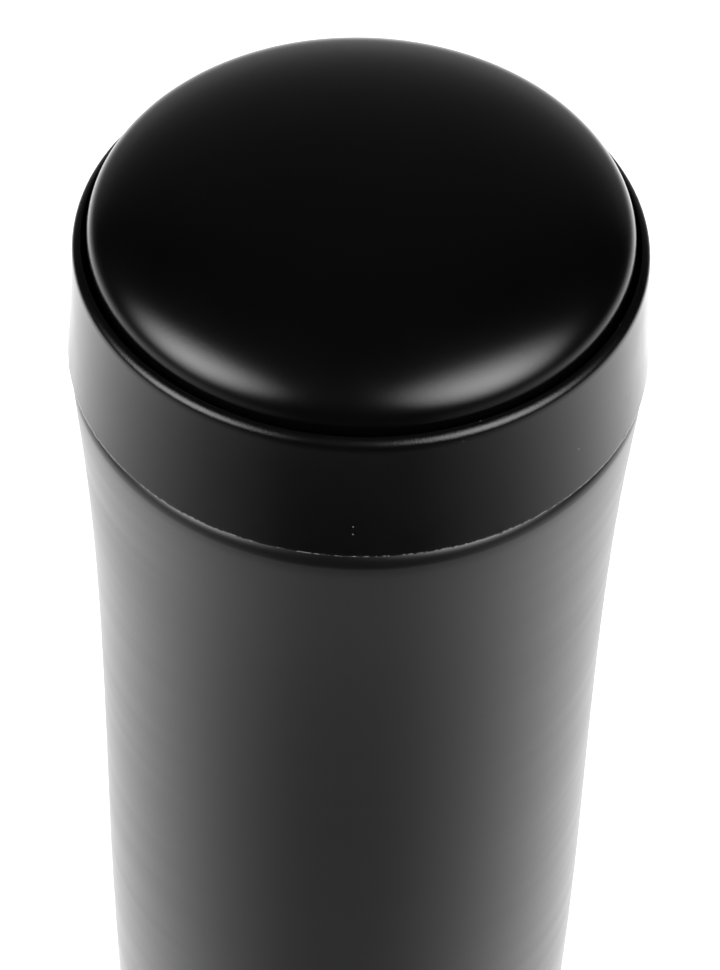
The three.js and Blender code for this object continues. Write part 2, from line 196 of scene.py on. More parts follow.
def add_camera():
    """The photo's camera: aimed at the lid from the front and above, then turned off it a little."""
    aim = Vector((0, 0, AIM_Z * MM))
    back = Vector((0, -math.cos(CAMERA_ELEVATION), math.sin(CAMERA_ELEVATION)))
    place = aim + back * CAMERA_DISTANCE * MM
    right = Vector((1, 0, 0))
    forward = -back
    up = right.cross(forward)
    for axis, angle in (("right", -CAMERA_PITCH), ("up", -CAMERA_YAW), ("forward", -CAMERA_ROLL)):
        turn = Matrix.Rotation(angle, 3, {"right": right, "up": up, "forward": forward}[axis])
        right, up, forward = turn @ right, turn @ up, turn @ forward
    data = bpy.data.cameras.new("camera")
    data.lens = LENS
    data.sensor_width = 36
    data.clip_end = 50
    camera = bpy.data.objects.new("camera", data)
    bpy.context.scene.collection.objects.link(camera)
    basis = Matrix((right, up, -forward)).transposed().to_4x4()
    camera.matrix_world = Matrix.Translation(place) @ basis
    bpy.context.scene.camera = camera


def direction_to(azimuth, elevation):
    """Unit vector from the lid. Azimuth is in degrees from -Y, the camera's side, towards +X."""
    turn = math.radians(azimuth)
    rise = math.radians(elevation)
    return Vector((math.sin(turn) * math.cos(rise), -math.cos(turn) * math.cos(rise), math.sin(rise)))


def add_overhead(strength, spread):
    """Even light from a wide patch of sky overhead, which whitens the floor. Nothing mirrors it."""
    data = bpy.data.lights.new("overhead", "SUN")
    data.energy = strength
    data.angle = math.radians(spread)
    lamp = bpy.data.objects.new("overhead", data)
    bpy.context.scene.collection.objects.link(lamp)
    lamp.visible_glossy = False


def add_softbox(name, azimuth, elevation, roll, half_width, half_height, radiance):
    """A soft box 1 m from the lid and facing it, brightest in the middle and fading to its rim."""
    made = bmesh.new()
    bmesh.ops.create_circle(made, cap_ends=True, segments=64, radius=1)
    mesh = bpy.data.meshes.new(name)
    made.to_mesh(mesh)
    made.free()
    box = bpy.data.objects.new(name, mesh)
    bpy.context.scene.collection.objects.link(box)
    direction = direction_to(azimuth, elevation)
    turned_to_lid = direction.to_track_quat("Z", "Y").to_matrix().to_4x4()
    lid_middle = Matrix.Translation(Vector((0, 0, AIM_Z * MM)) + direction)
    shape = Matrix.Diagonal((half_width, half_height, 1, 1))
    box.matrix_world = lid_middle @ turned_to_lid @ Matrix.Rotation(math.radians(roll), 4, "Z") @ shape
    material = bpy.data.materials.new(name)
    material.use_nodes = True
    tree = material.node_tree
    tree.nodes.clear()
    coords = tree.nodes.new("ShaderNodeTexCoord")
    reach = tree.nodes.new("ShaderNodeVectorMath")
    reach.operation = "LENGTH"
    fade = tree.nodes.new("ShaderNodeMapRange")
    fade.interpolation_type = "SMOOTHSTEP"
    for socket, value in zip(fade.inputs[1:], (0, 1, radiance, 0)):
        socket.default_value = value
    glow = tree.nodes.new("ShaderNodeEmission")
    output = tree.nodes.new("ShaderNodeOutputMaterial")
    tree.links.new(coords.outputs["Object"], reach.inputs[0])
    tree.links.new(reach.outputs["Value"], fade.inputs["Value"])
    tree.links.new(fade.outputs["Result"], glow.inputs["Strength"])
    tree.links.new(glow.outputs[0], output.inputs["Surface"])
    mesh.materials.append(material)
    box.visible_camera = False
    box.visible_shadow = False


# Light by turn, from 0 towards the camera to 1 straight behind, and by the sine of the slope.
TABLE_STRENGTH = 2.6
TABLE_BY_TURN = [(0, 0.004), (0.14, 0.01), (0.33, 0.14), (0.5, 0.37), (0.67, 0.6), (0.8, 0.68), (1, 0.7)]
TABLE_BY_DROP = [(0.28, 0), (0.52, 1)]
FOOT_BY_DROP = [(0.68, 0), (0.85, 0.36), (0.97, 0.6)]
WALL_BY_TURN = [(0.72, 0), (0.88, 0.85), (1, 1)]
WALL_BY_RISE = [(0, 0.42), (0.14, 0.24), (0.36, 0.1), (0.6, 0.05), (1, 0.01)]
CEILING_LIGHT = 0.006
BACKDROP_LIGHT = 0.98


def add_world():
    """What the flask mirrors: a floor and a horizon that are white at the sides and behind and dark
    in front, under a nearly dark ceiling. The camera sees plain pale grey instead."""
    world = bpy.data.worlds.new("studio")
    bpy.context.scene.world = world
    world.use_nodes = True
    tree = world.node_tree
    tree.nodes.clear()

    def add(kind, **settings):
        made = tree.nodes.new("ShaderNode" + kind)
        for key, value in settings.items():
            setattr(made, key, value)
        return made

    def link(output, socket):
        tree.links.new(output, socket)

    def calculate(operation, *values):
        made = add("Math", operation=operation)
        for socket, value in zip(made.inputs, values):
            if isinstance(value, bpy.types.NodeSocket):
                link(value, socket)
            else:
                socket.default_value = value
        return made.outputs[0]

    def ramp(value, stops):
        made = add("ValToRGB")
        set_ramp(made, stops)
        link(value, made.inputs["Fac"])
        return made.outputs["Color"]

    split = add("SeparateXYZ")
    link(add("TexCoord").outputs["Generated"], split.inputs[0])
    x, y, z = split.outputs
    from_front = calculate("ARCTAN2", x, calculate("MULTIPLY", y, -1))
    turn = calculate("DIVIDE", calculate("ABSOLUTE", from_front), math.pi)
    drop = calculate("MULTIPLY", z, -1)
    table = calculate("MULTIPLY", ramp(turn, TABLE_BY_TURN), ramp(drop, TABLE_BY_DROP))
    foot = ramp(drop, FOOT_BY_DROP)
    wall = calculate("MULTIPLY", ramp(turn, WALL_BY_TURN), ramp(z, WALL_BY_RISE))
    lit = calculate("ADD", calculate("MULTIPLY_ADD", table, TABLE_STRENGTH, wall), foot)
    mirrored = calculate("ADD", lit, CEILING_LIGHT)
    seen = add("Mix", data_type="FLOAT")
    link(add("LightPath").outputs["Is Camera Ray"], seen.inputs["Factor"])
    link(mirrored, seen.inputs["A"])
    seen.inputs["B"].default_value = BACKDROP_LIGHT
    background = add("Background")
    link(seen.outputs["Result"], background.inputs["Color"])
    link(background.outputs[0], add("OutputWorld").inputs[0])
    world.cycles.sampling_method = "MANUAL"
    world.cycles.sample_map_resolution = 512


def set_ramp(ramp, stops):
    """Grey stops on a colour ramp, as (place, value)."""
    elements = ramp.color_ramp.elements
    while len(elements) > 1:
        elements.remove(elements[-1])
    elements[0].position, value = stops[0]
    elements[0].color = (value, value, value, 1)
    for position, value in stops[1:]:
        elements.new(position).color = (value, value, value, 1)


# ---- materials ----------------------------------------------------------------------------------


class Shader:
    """A node material with one Principled shader, and short ways to add the nodes that feed it."""

    def __init__(self, name, colour, roughness, metallic=0.0, specular=0.5):
        self.material = bpy.data.materials.new(name)
        self.material.use_nodes = True
        self.material.diffuse_color = (*colour, 1)
        self.tree = self.material.node_tree
        self.bsdf = self.tree.nodes["Principled BSDF"]
        self.bsdf.inputs["Base Color"].default_value = (*colour, 1)
        self.bsdf.inputs["Roughness"].default_value = roughness
        self.bsdf.inputs["Metallic"].default_value = metallic
        self.bsdf.inputs["Specular IOR Level"].default_value = specular
        self.coords = self.tree.nodes.new("ShaderNodeTexCoord").outputs["Object"]
        self.height = None

    def node(self, kind, **settings):
        made = self.tree.nodes.new("ShaderNode" + kind)
        for key, value in settings.items():
            setattr(made, key, value)
        return made

    def feed(self, socket, value):
        if isinstance(value, bpy.types.NodeSocket):
            self.tree.links.new(value, socket)
        else:
            socket.default_value = value

    def math(self, operation, *values):
        made = self.node("Math", operation=operation)
        for socket, value in zip(made.inputs, values):
            self.feed(socket, value)
        return made.outputs[0]

    def between(self, value, start, end, first=0.0, last=1.0):
        """value eased from first to last as it goes from start to end."""
        made = self.node("MapRange", interpolation_type="SMOOTHSTEP")
        for socket, entry in zip(made.inputs, (value, start, end, first, last)):
            self.feed(socket, entry)
        return made.outputs[0]

    def stretched(self, scale):
        made = self.node("Mapping")
        made.inputs["Scale"].default_value = scale
        self.feed(made.inputs["Vector"], self.coords)
        return made.outputs[0]

    def noise(self, scale, detail=2.0, coords=None):
        made = self.node("TexNoise")
        made.inputs["Scale"].default_value = scale
        made.inputs["Detail"].default_value = detail
        self.feed(made.inputs["Vector"], coords or self.coords)
        return made.outputs[0]

    def z(self):
        return self.xyz()[2]

    def xyz(self):
        split = self.node("SeparateXYZ")
        self.feed(split.inputs[0], self.coords)
        return split.outputs

    def radius(self):
        """Distance from the flask's axis."""
        x, y, _ = self.xyz()
        return self.math("SQRT", self.math("ADD", self.math("MULTIPLY", x, x), self.math("MULTIPLY", y, y)))

    def angle(self):
        """Angle round the flask's axis, in radians."""
        x, y, _ = self.xyz()
        return self.math("ARCTAN2", y, x)

    def colour_mix(self, factor, first, second):
        """Base colour that goes from first to second with factor."""
        made = self.node("Mix", data_type="RGBA")
        self.feed(made.inputs["Factor"], factor)
        self.feed(made.inputs["A"], (*first, 1))
        self.feed(made.inputs["B"], (*second, 1))
        self.feed(self.bsdf.inputs["Base Color"], made.outputs["Result"])

    def roughness(self, value):
        self.feed(self.bsdf.inputs["Roughness"], value)

    def bump(self, height, distance_mm, strength=1.0):
        """Adds a bump layer over those already there."""
        made = self.node("Bump")
        made.inputs["Strength"].default_value = strength
        made.inputs["Distance"].default_value = distance_mm * MM
        self.feed(made.inputs["Height"], height)
        if self.height is not None:
            self.feed(made.inputs["Normal"], self.height)
        self.height = made.outputs[0]
        self.feed(self.bsdf.inputs["Normal"], self.height)


def dust(shader, scale, size, share):
    """1 on a few tiny specks and 0 elsewhere."""
    cells = shader.node("TexVoronoi")
    cells.inputs["Scale"].default_value = scale
    shader.feed(cells.inputs["Vector"], shader.coords)
    near = shader.math("LESS_THAN", cells.outputs["Distance"], size)
    split = shader.node("SeparateColor")
    shader.feed(split.inputs[0], cells.outputs["Color"])
    rare = shader.math("LESS_THAN", split.outputs[0], share)
    return shader.math("MULTIPLY", near, rare)


def shell_paint():
    """Satin black lacquer on spun steel: a fine peel, and faint level streaks from the spinning."""
    s = Shader("shell_paint", (0.0009, 0.0009, 0.0009), 0.33, specular=0.74)
    streaks = s.noise(1.0, 3.0, s.stretched((9, 9, 420)))
    clouds = s.noise(18, 2.0)
    mixed = s.math("ADD", s.math("MULTIPLY", streaks, 0.6), s.math("MULTIPLY", clouds, 0.4))
    s.colour_mix(s.between(mixed, 0.3, 0.7), (0.0007, 0.0007, 0.0007), (0.0011, 0.0011, 0.0011))
    s.roughness(s.between(mixed, 0.3, 0.7, 0.31, 0.35))
    s.bump(s.noise(900, 2.0), 0.006)
    s.bump(streaks, 0.002, 0.5)
    return s.material


def collar_plastic():
    """Satin black moulding. The lip is finely scuffed, and the flash line at the lower edge has
    whitened in places."""
    s = Shader("collar_plastic", (0.0009, 0.0009, 0.00095), 0.29, specular=0.46)
    z = s.z()
    grain = s.noise(2600, 2.0)
    lip = s.between(z, (RIM_Z - LIP_ROUND) * MM, (RIM_Z - 0.7) * MM)
    near_edge = s.math("COMPARE", z, SEAM_Z * MM, FLASH_HEIGHT * MM)
    outside = s.math("GREATER_THAN", s.radius(), (COLLAR_R - 0.5) * MM)
    flash = s.math("MULTIPLY", near_edge, outside)
    whitened = s.math("MULTIPLY", flash, s.between(s.noise(1400, 1.0), 0.45, 0.62))
    specks = dust(s, 450, 0.06, 0.16)
    pale = s.math("MAXIMUM", s.math("MULTIPLY", whitened, 0.55), s.math("MULTIPLY", specks, 0.6))
    s.colour_mix(pale, (0.0009, 0.0009, 0.00095), (0.16, 0.16, 0.16))
    s.roughness(s.between(s.noise(60, 3.0), 0.3, 0.7, 0.22, 0.27))
    s.bump(grain, 0.003)
    marks = s.noise(1.0, 2.0, coords=angle_coords(s, 150, 3200))
    s.bump(s.math("MULTIPLY", marks, lip), 0.05, 0.6)
    return s.material


def angle_coords(s, around, up):
    """Coordinates that run round the axis and up it, for a noise that follows a round wall."""
    made = s.node("CombineXYZ")
    s.feed(made.inputs[0], s.math("MULTIPLY", s.angle(), around))
    s.feed(made.inputs[1], s.math("MULTIPLY", s.z(), up))
    return made.outputs[0]


def dome_plastic():
    """Smooth black moulding with a soft gloss, a very fine grain and the odd speck of dust."""
    s = Shader("dome_plastic", (0.0006, 0.0006, 0.00065), 0.25, specular=0.5)
    specks = dust(s, 190, 0.02, 0.05)
    s.colour_mix(specks, (0.0006, 0.0006, 0.00065), (0.09, 0.09, 0.09))
    s.roughness(s.between(s.noise(45, 3.0), 0.3, 0.7, 0.21, 0.26))
    s.bump(s.noise(1700, 2.0), 0.006)
    s.bump(s.noise(70, 1.0), 0.01)
    return s.material


def mechanism_plastic():
    """Dark grey moulding of the parts under the dome, with a fine spark-eroded grain."""
    s = Shader("mechanism_plastic", (0.1, 0.104, 0.11), 0.45)
    s.colour_mix(s.between(s.noise(120, 3.0), 0.35, 0.65), (0.092, 0.096, 0.102), (0.112, 0.116, 0.122))
    s.bump(s.noise(1800, 3.0), 0.012)
    return s.material


def turned_steel(name, colour, roughness, rings=3000):
    """Steel with fine rings from turning, and slow changes of shade."""
    s = Shader(name, colour, roughness, metallic=1.0)
    lines = s.noise(1.0, 2.0, s.stretched((2, 2, rings)))
    clouds = s.noise(30, 2.0)
    darker = tuple(0.92 * c for c in colour)
    s.colour_mix(s.between(s.math("ADD", lines, clouds), 0.7, 1.3), darker, colour)
    s.roughness(s.between(lines, 0.3, 0.7, roughness - 0.06, roughness + 0.08))
    s.bump(lines, 0.002, 0.6)
    return s.material


def foil():
    """Thin crinkled foil."""
    s = Shader("foil", (0.8, 0.81, 0.82), 0.24, metallic=1.0)
    creases = s.node("TexVoronoi", feature="DISTANCE_TO_EDGE")
    creases.inputs["Scale"].default_value = 160
    s.feed(creases.inputs["Vector"], s.coords)
    s.bump(s.between(creases.outputs["Distance"], 0.0, 0.25), 0.25)
    s.roughness(s.between(s.noise(90, 2.0), 0.3, 0.7, 0.2, 0.34))
    return s.material


def getter_metal():
    """Dull sintered metal."""
    s = Shader("getter_metal", (0.46, 0.47, 0.48), 0.5, metallic=1.0)
    s.colour_mix(s.between(s.noise(700, 3.0), 0.35, 0.65), (0.38, 0.39, 0.4), (0.52, 0.53, 0.54))
    s.bump(s.noise(1500, 3.0), 0.04)
    return s.material


def silicone():
    """Matt silicone rubber with a fine bloom."""
    s = Shader("silicone", (0.026, 0.026, 0.028), 0.62, specular=0.4)
    s.colour_mix(s.between(s.noise(55, 3.0), 0.35, 0.65), (0.022, 0.022, 0.024), (0.034, 0.034, 0.036))
    s.roughness(s.between(s.noise(200, 2.0), 0.3, 0.7, 0.55, 0.68))
    s.bump(s.noise(1100, 3.0), 0.015)
    return s.material


MATERIALS = {
    "shell_paint": shell_paint(),
    "collar_plastic": collar_plastic(),
    "dome_plastic": dome_plastic(),
    "mechanism_plastic": mechanism_plastic(),
    "liner_steel": turned_steel("liner_steel", (0.62, 0.61, 0.6), 0.3),
    "spring_steel": turned_steel("spring_steel", (0.68, 0.68, 0.69), 0.22, 300),
    "foil": foil(),
    "getter_metal": getter_metal(),
    "silicone": silicone(),
}


# ---- outlines -----------------------------------------------------------------------------------


def rounded(corners, closed=True):
    """Points of an outline whose corners are (radius, z) or (radius, z, fillet)."""
    points = []
    count = len(corners)
    for i, corner in enumerate(corners):
        here = Vector(corner[:2])
        fillet = corner[2] if len(corner) > 2 else 0
        if not fillet or (not closed and i in (0, count - 1)):
            points.append(tuple(here))
            continue
        back = Vector(corners[i - 1][:2]) - here
        on = Vector(corners[(i + 1) % count][:2]) - here
        opening = back.angle(on)
        reach = min(fillet / math.tan(opening / 2), 0.49 * back.length, 0.49 * on.length)
        size = reach * math.tan(opening / 2)
        centre = here + (back.normalized() + on.normalized()).normalized() * size / math.sin(opening / 2)
        start = here + back.normalized() * reach - centre
        sweep = math.pi - opening
        turn = 1 if back.x * on.y - back.y * on.x < 0 else -1
        steps = max(1, math.ceil(sweep / FILLET_STEP))
        for k in range(steps + 1):
            spun = Matrix.Rotation(turn * sweep * k / steps, 2) @ start
            points.append(tuple(centre + spun))
    return points


def along(outline, start, end, steps):
    """Points of a formula radius(z), from one height to another, ends included."""
    heights = [start + (end - start) * i / steps for i in range(steps + 1)]
    return [(outline(z), z) for z in heights]


def superellipse(radius_mm, height_mm, steps):
    """Points of the dome's outline from its equator up to the crown."""
    power = 2 / DOME_ROUNDNESS
    points = []
    for i in range(steps + 1):
        angle = math.pi / 2 * i / steps
        r = radius_mm * max(0, math.cos(angle)) ** power if i < steps else 0
        points.append((r, DOME_EQUATOR_Z + height_mm * math.sin(angle) ** power))
    return points


# ---- meshes -------------------------------------------------------------------------------------


def finish_mesh(name, made, body, slot):
    """Turns a bmesh into a piece that rides on its body and replaces the CAD node of that name."""
    bmesh.ops.recalc_face_normals(made, faces=made.faces)
    mesh = bpy.data.meshes.new("final_" + name)
    made.to_mesh(mesh)
    made.free()
    mesh.shade_smooth()
    mesh.set_sharp_from_angle(angle=SHARP_ANGLE)
    piece = bpy.data.objects.new("final_" + name, mesh)
    bpy.context.scene.collection.objects.link(piece)
    mesh.materials.append(MATERIALS[slot])
    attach(piece, body)
    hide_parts(name)
    return piece


def turn_outline(points, segments, shape=None, centre=(0, 0)):
    """A bmesh turned from (radius, z) points round an upright axis. An outline that doesn't run from
    axis to axis closes on itself. shape(radius, z, angle) may give each vertex a new (radius, z)."""
    made = bmesh.new()
    on_axis = points[0][0] == 0 and points[-1][0] == 0
    rings = []
    for r, z in points:
        if r == 0:
            rings.append([made.verts.new((centre[0] * MM, centre[1] * MM, z * MM))])
            continue
        ring = []
        for i in range(segments):
            angle = FULL * i / segments
            new_r, new_z = shape(r, z, angle) if shape else (r, z)
            x = centre[0] + new_r * math.cos(angle)
            y = centre[1] + new_r * math.sin(angle)
            ring.append(made.verts.new((x * MM, y * MM, new_z * MM)))
        rings.append(ring)
    pairs = list(zip(rings, rings[1:]))
    if not on_axis:
        pairs.append((rings[-1], rings[0]))
    for lower, upper in pairs:
        for i in range(segments):
            j = (i + 1) % segments
            below = [lower[i % len(lower)], lower[j % len(lower)]]
            corners = below + [upper[j % len(upper)], upper[i % len(upper)]]
            distinct = list(dict.fromkeys(corners))
            if len(distinct) > 2:
                made.faces.new(distinct)
    return made


def turned(name, corners, body, slot, segments=160, shape=None, centre=(0, 0)):
    """A round piece from an outline of corners, some of them filleted."""
    closed = not (corners[0][0] == 0 and corners[-1][0] == 0)
    made = turn_outline(rounded(corners, closed), segments, shape, centre)
    return finish_mesh(name, made, body, slot)


def thread_shape(wall_r, outward, start_z, low_z, high_z):
    """Moves a wall's vertices out into the ridges of the thread. Ridges ease in and out at their ends."""
    half_root, half_crest = 1.1, 0.45
    pitch = FULL / THREAD_STARTS

    def shape(r, z, angle):
        if abs(r - wall_r) > 0.02 or not low_z < z < high_z:
            return r, z
        along_ridge = (angle % pitch) / THREAD_SWEEP
        if along_ridge > 1:
            return r, z
        off = abs(z - start_z - THREAD_LEAD * along_ridge * THREAD_SWEEP / FULL)
        flank = min(1, max(0, (half_root - off) / (half_root - half_crest)))
        ends = min(1, 6 * along_ridge, 6 * (1 - along_ridge))
        rise = flank * flank * (3 - 2 * flank) * ends * ends * (3 - 2 * ends)
        return wall_r + outward * THREAD_HEIGHT * rise, z

    return shape


def wall_rows(r, start, end, spacing=0.11):
    """Closely spaced points up or down a straight wall, for a thread to move."""
    steps = max(1, round(abs(end - start) / spacing))
    return [(r, start + (end - start) * i / steps) for i in range(steps + 1)]


def add_flask():
    """The double-walled body, what is between its walls, and its base."""
    shoulder_z = MOUTH_Z - SHOULDER_HEIGHT
    base_r = flask_radius(SHELL_LOW_Z + BASE_ROUND) - BASE_ROUND
    base_z = SHELL_LOW_Z + BASE_ROUND
    outer = [(BASE_OPENING_R, SHELL_LOW_Z, 0.15)]
    for i in range(13):
        angle = math.radians(-90 + 75 * i / 12)
        outer.append((base_r + BASE_ROUND * math.cos(angle), base_z + BASE_ROUND * math.sin(angle)))
    outer += along(flask_radius, base_z + 1.5, shoulder_z, 90)
    shoulder_r = flask_radius(shoulder_z)
    for i in range(1, 25):
        angle = math.radians(90 * i / 24)
        across = SHOULDER_DEPTH * (math.cos(angle) - 1)
        outer.append((shoulder_r + across, shoulder_z + SHOULDER_HEIGHT * math.sin(angle)))
    outer += [(SHELL_MOUTH_R, MOUTH_Z, 0.1), (SHELL_MOUTH_R, MOUTH_Z - SHEET)]
    outer += [(shoulder_r - SHOULDER_DEPTH, MOUTH_Z - SHEET), (shoulder_r - SHEET, shoulder_z)]
    outer += along(lambda z: flask_radius(z) - SHEET, 160, base_z, 20)
    outer += [(base_r + 2, SHELL_LOW_Z + 1.7), (base_r - 1.4, SHELL_LOW_Z + SHEET)]
    outer.append((BASE_OPENING_R, SHELL_LOW_Z + SHEET))
    turned("outer_shell", outer, "flask", "shell_paint", 256)

    corner_r = LINER_R - LINER_CORNER
    corner_z = LINER_FLOOR_Z + LINER_CORNER
    liner = [(0, LINER_FLOOR_Z - SHEET)]
    for i in range(13):
        angle = math.radians(-90 + 90 * i / 12)
        reach = LINER_CORNER + SHEET
        liner.append((corner_r + reach * math.cos(angle), corner_z + reach * math.sin(angle)))
    liner += [
        (LINER_R + SHEET, LEDGE_LOW_Z - 0.3, 1.2),
        (LINER_THREAD_R + SHEET, LEDGE_TOP_Z - 0.3, 1.2),
        (LINER_THREAD_R + SHEET, MOUTH_Z - 1.2, 0.5),
        (35.9, MOUTH_Z, 0.2),
        (LINER_THREAD_R, MOUTH_Z, 0.55),
    ]
    liner += wall_rows(LINER_THREAD_R, MOUTH_Z - 0.9, LEDGE_TOP_Z + 0.8)
    liner += [(LINER_THREAD_R, LEDGE_TOP_Z, 0.9), (LINER_R, LEDGE_LOW_Z, 1.2)]
    for i in range(13):
        angle = math.radians(-90 * i / 12)
        liner.append((corner_r + LINER_CORNER * math.cos(angle), corner_z + LINER_CORNER * math.sin(angle)))
    liner += [(12, LINER_FLOOR_Z), (11, LINER_FLOOR_Z + 0.5, 0.6), (0, LINER_FLOOR_Z + 0.7)]
    shape = thread_shape(LINER_THREAD_R, -1, FEMALE_THREAD_Z, LEDGE_TOP_Z + 0.5, MOUTH_Z - 0.8)
    turned("inner_liner", liner, "flask", "liner_steel", 288, shape)

    foil_r = LINER_R + SHEET + 0.5
    rows = wall_rows(foil_r + 0.3, low("radiation_foil"), high("radiation_foil"), 4)
    inner_rows = wall_rows(foil_r, high("radiation_foil"), low("radiation_foil"), 4)
    turned("radiation_foil", rows + inner_rows, "flask", "foil", 128)

    getter_x = (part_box("getter_pill")[0].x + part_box("getter_pill")[1].x) / 2 / MM
    clip = [(2.6, 8.4, 0.15), (5.4, 8.4, 0.5), (5.4, 13), (4.8, 13), (4.8, 9, 0.3), (2.6, 9, 0.15)]
    turned("getter_clip", clip, "flask", "liner_steel", 64, centre=(getter_x, 0))
    pill = [(0, 9.3), (4.4, 9.3, 0.5), (4.4, 11.5, 0.5), (0, 11.5)]
    turned("getter_pill", pill, "flask", "getter_metal", 64, centre=(getter_x, 0))

    plate = [
        (1.2, 5.9),
        (4.2, 5.9, 1),
        (6.2, 3.3, 1),
        (27.6, 3.3, 0.2),
        (27.6, 4, 0.2),
        (6.7, 4, 1),
        (4.6, 6.6, 1),
        (1.2, 6.6),
    ]
    turned("vacuum_base_plate", plate, "flask", "liner_steel", 128)
    bead = [(0, 3.7), (2.2, 4, 1.5), (3.4, 5, 0.5), (3.4, 5.6, 0.2), (0, 5.6)]
    turned("vacuum_seal_bead", bead, "flask", "getter_metal", 48)
    cover = [
        (0, 1.4),
        (17, 1.4, 1),
        (17.6, 1.2, 0.4),
        (22, 1.2, 0.4),
        (22.6, 1.8, 0.3),
        (22.6, 3, 0.2),
        (21.8, 3, 0.2),
        (21.8, 2, 0.3),
        (0, 2),
    ]
    turned("base_cover", cover, "flask", "shell_paint", 160)
    foot = [(23, 0.5, 0.2), (23.5, 0, 0.3), (28.6, 0, 0.5), (30, 0.7, 0.8), (30.5, 2.1, 0.2), (23, 2.1, 0.2)]
    turned("foot_ring", foot, "flask", "silicone", 192)


def ragged_edge(r, z, angle):
    """Raises small burrs on the collar's lower outer corner, left by the mould."""
    up = (z - SEAM_Z) / FLASH_HEIGHT
    if up > 1 or r < COLLAR_R - 0.5:
        return r, z
    point = Vector((math.cos(angle) * 42, math.sin(angle) * 42, SEED))
    burr = max(0, noise.noise(point) - 0.12) + 0.35 * max(0, noise.noise(point * 2.7) - 0.2)
    return r + 0.1 * burr, z - 0.2 * burr * (1 - up)


def add_lid():
    """Collar, threaded lid core and gasket."""
    collar = [
        (COLLAR_FIT_R, SEAM_Z + 0.08, 0.05),
        (COLLAR_R - 0.35, SEAM_Z + 0.03),
        (COLLAR_R - 0.02, SEAM_Z, 0.03),
    ]
    lip_z = RIM_Z - LIP_ROUND
    collar += along(collar_radius, SEAM_Z + FLASH_HEIGHT, lip_z, 40)
    for i in range(1, 17):
        angle = math.radians(4 + 66 * i / 16)
        collar.append((LIP_R - LIP_ROUND * (1 - math.cos(angle)), lip_z + LIP_ROUND * math.sin(angle)))
    collar += [
        (COLLAR_WALL_R, RIM_Z - 0.05, 0.25),
        (COLLAR_WALL_R, COLLAR_WALL_LOW_Z, 0.2),
        (COLLAR_FIT_R, COLLAR_FIT_TOP_Z, 0.2),
    ]
    turned("collar_shell", collar, "lid", "collar_plastic", 512, ragged_edge)

    core = [
        (THROAT_R, SEAT_Z, 0.3),
        (31.9, SEAT_Z, 0.2),
        (31.9, SEAT_Z + 0.9, 0.2),
        (30.9, SEAT_Z + 0.9, 0.15),
        (30.9, 163.7, 0.15),
        (PLUG_R, 163.7, 0.3),
    ]
    core += wall_rows(PLUG_R, 164.4, 173.2)
    core += [
        (PLUG_R, MOUTH_Z + 0.3, 0.4),
        (TRAY_R, MOUTH_Z + 0.3, 0.2),
        (TRAY_R, TRAY_TOP_Z, 0.2),
        (TRAY_R - 1.2, TRAY_TOP_Z, 0.2),
        (35.3, 178.2, 1),
        (PLUG_BORE_R, 176.8, 1),
        (PLUG_BORE_R, 168, 0.1),
        (PLUG_BORE_R - 1, 168, 0.2),
        (PLUG_BORE_R - 1.3, 162.6, 1.2),
        (THROAT_R + 9, 161.3, 1),
        (THROAT_R, 161, 0.6),
    ]
    shape = thread_shape(PLUG_R, 1, MALE_THREAD_Z, 164.2, 173.4)
    turned("lid_body", core, "lid", "collar_plastic", 288, shape)

    gasket = [
        (31.2, 160.7, 0.2),
        (32.5, 160.7, 0.4),
        (33, 161.1, 0.4),
        (33.35, 162, 0.4),
        (33.35, 163, 0.3),
        (32.6, 163.4, 0.3),
        (31.2, 163.4, 0.2),
    ]
    turned("lid_gasket", gasket, "gasket", "silicone", 192)


def add_button():
    """Dome cap with its inner plate, and the valve at the stem's lower end."""
    made = turn_outline(dome_section(), 256)
    finish_mesh("dome_cap", made, "push_button", "dome_plastic")

    plate_r = DOME_R - DOME_WALL - 0.3
    plate_top_z = PLATE_Z + PLATE_THICKNESS
    plate = [(0, PLATE_Z), (plate_r, PLATE_Z, 0.3), (plate_r, plate_top_z, 0.3), (0, plate_top_z)]
    turned("dome_inner_plate", plate, "push_button", "collar_plastic", 160)

    valve = [
        (1.8, VALVE_LOW_Z, 0.2),
        (VALVE_R - 4, VALVE_LOW_Z, 2),
        (VALVE_R, 156, 0.8),
        (VALVE_R, 158.2, 0.3),
        (VALVE_R - 0.8, 158.2, 0.2),
        (VALVE_R - 0.8, 157, 0.2),
        (6.5, 157, 0.5),
        (5.6, 159.4, 0.3),
        (3.9, 159.4, 0.3),
        (3.9, 156, 0.2),
        (1.8, 156, 0.1),
    ]
    turned("valve_disc", valve, "push_button", "mechanism_plastic", 160)
    seal = [
        (15.8, 157.3, 0.3),
        (22.8, 157.3, 0.2),
        (22.8, 158.4, 0.4),
        (21, 159.2, 0.5),
        (19.6, 159.2, 0.5),
        (15.8, 158.3, 0.4),
    ]
    turned("valve_seal", seal, "push_button", "silicone", 160)


def dome_section():
    """The dome cap's closed outline: skirt, outside up to the crown, and inside back down."""
    inner_r = DOME_R - DOME_WALL
    crown_height = CROWN_Z - DOME_EQUATOR_Z
    plate_step_z = high("dome_inner_plate") + 0.3
    outside = superellipse(DOME_R, crown_height, 72)
    inside = superellipse(inner_r, crown_height - DOME_WALL, 36)[::-1]
    skirt_corners = [
        (inner_r, SKIRT_Z + 2),
        (inner_r, SKIRT_Z, 0.3),
        (DOME_R - 0.4, SKIRT_Z, 0.4),
        (DOME_R, DOME_EQUATOR_Z),
    ]
    skirt = rounded(skirt_corners, closed=False)
    lower = [(inner_r - 0.6, plate_step_z), (inner_r, plate_step_z)]
    return skirt[1:-1] + outside + inside + lower


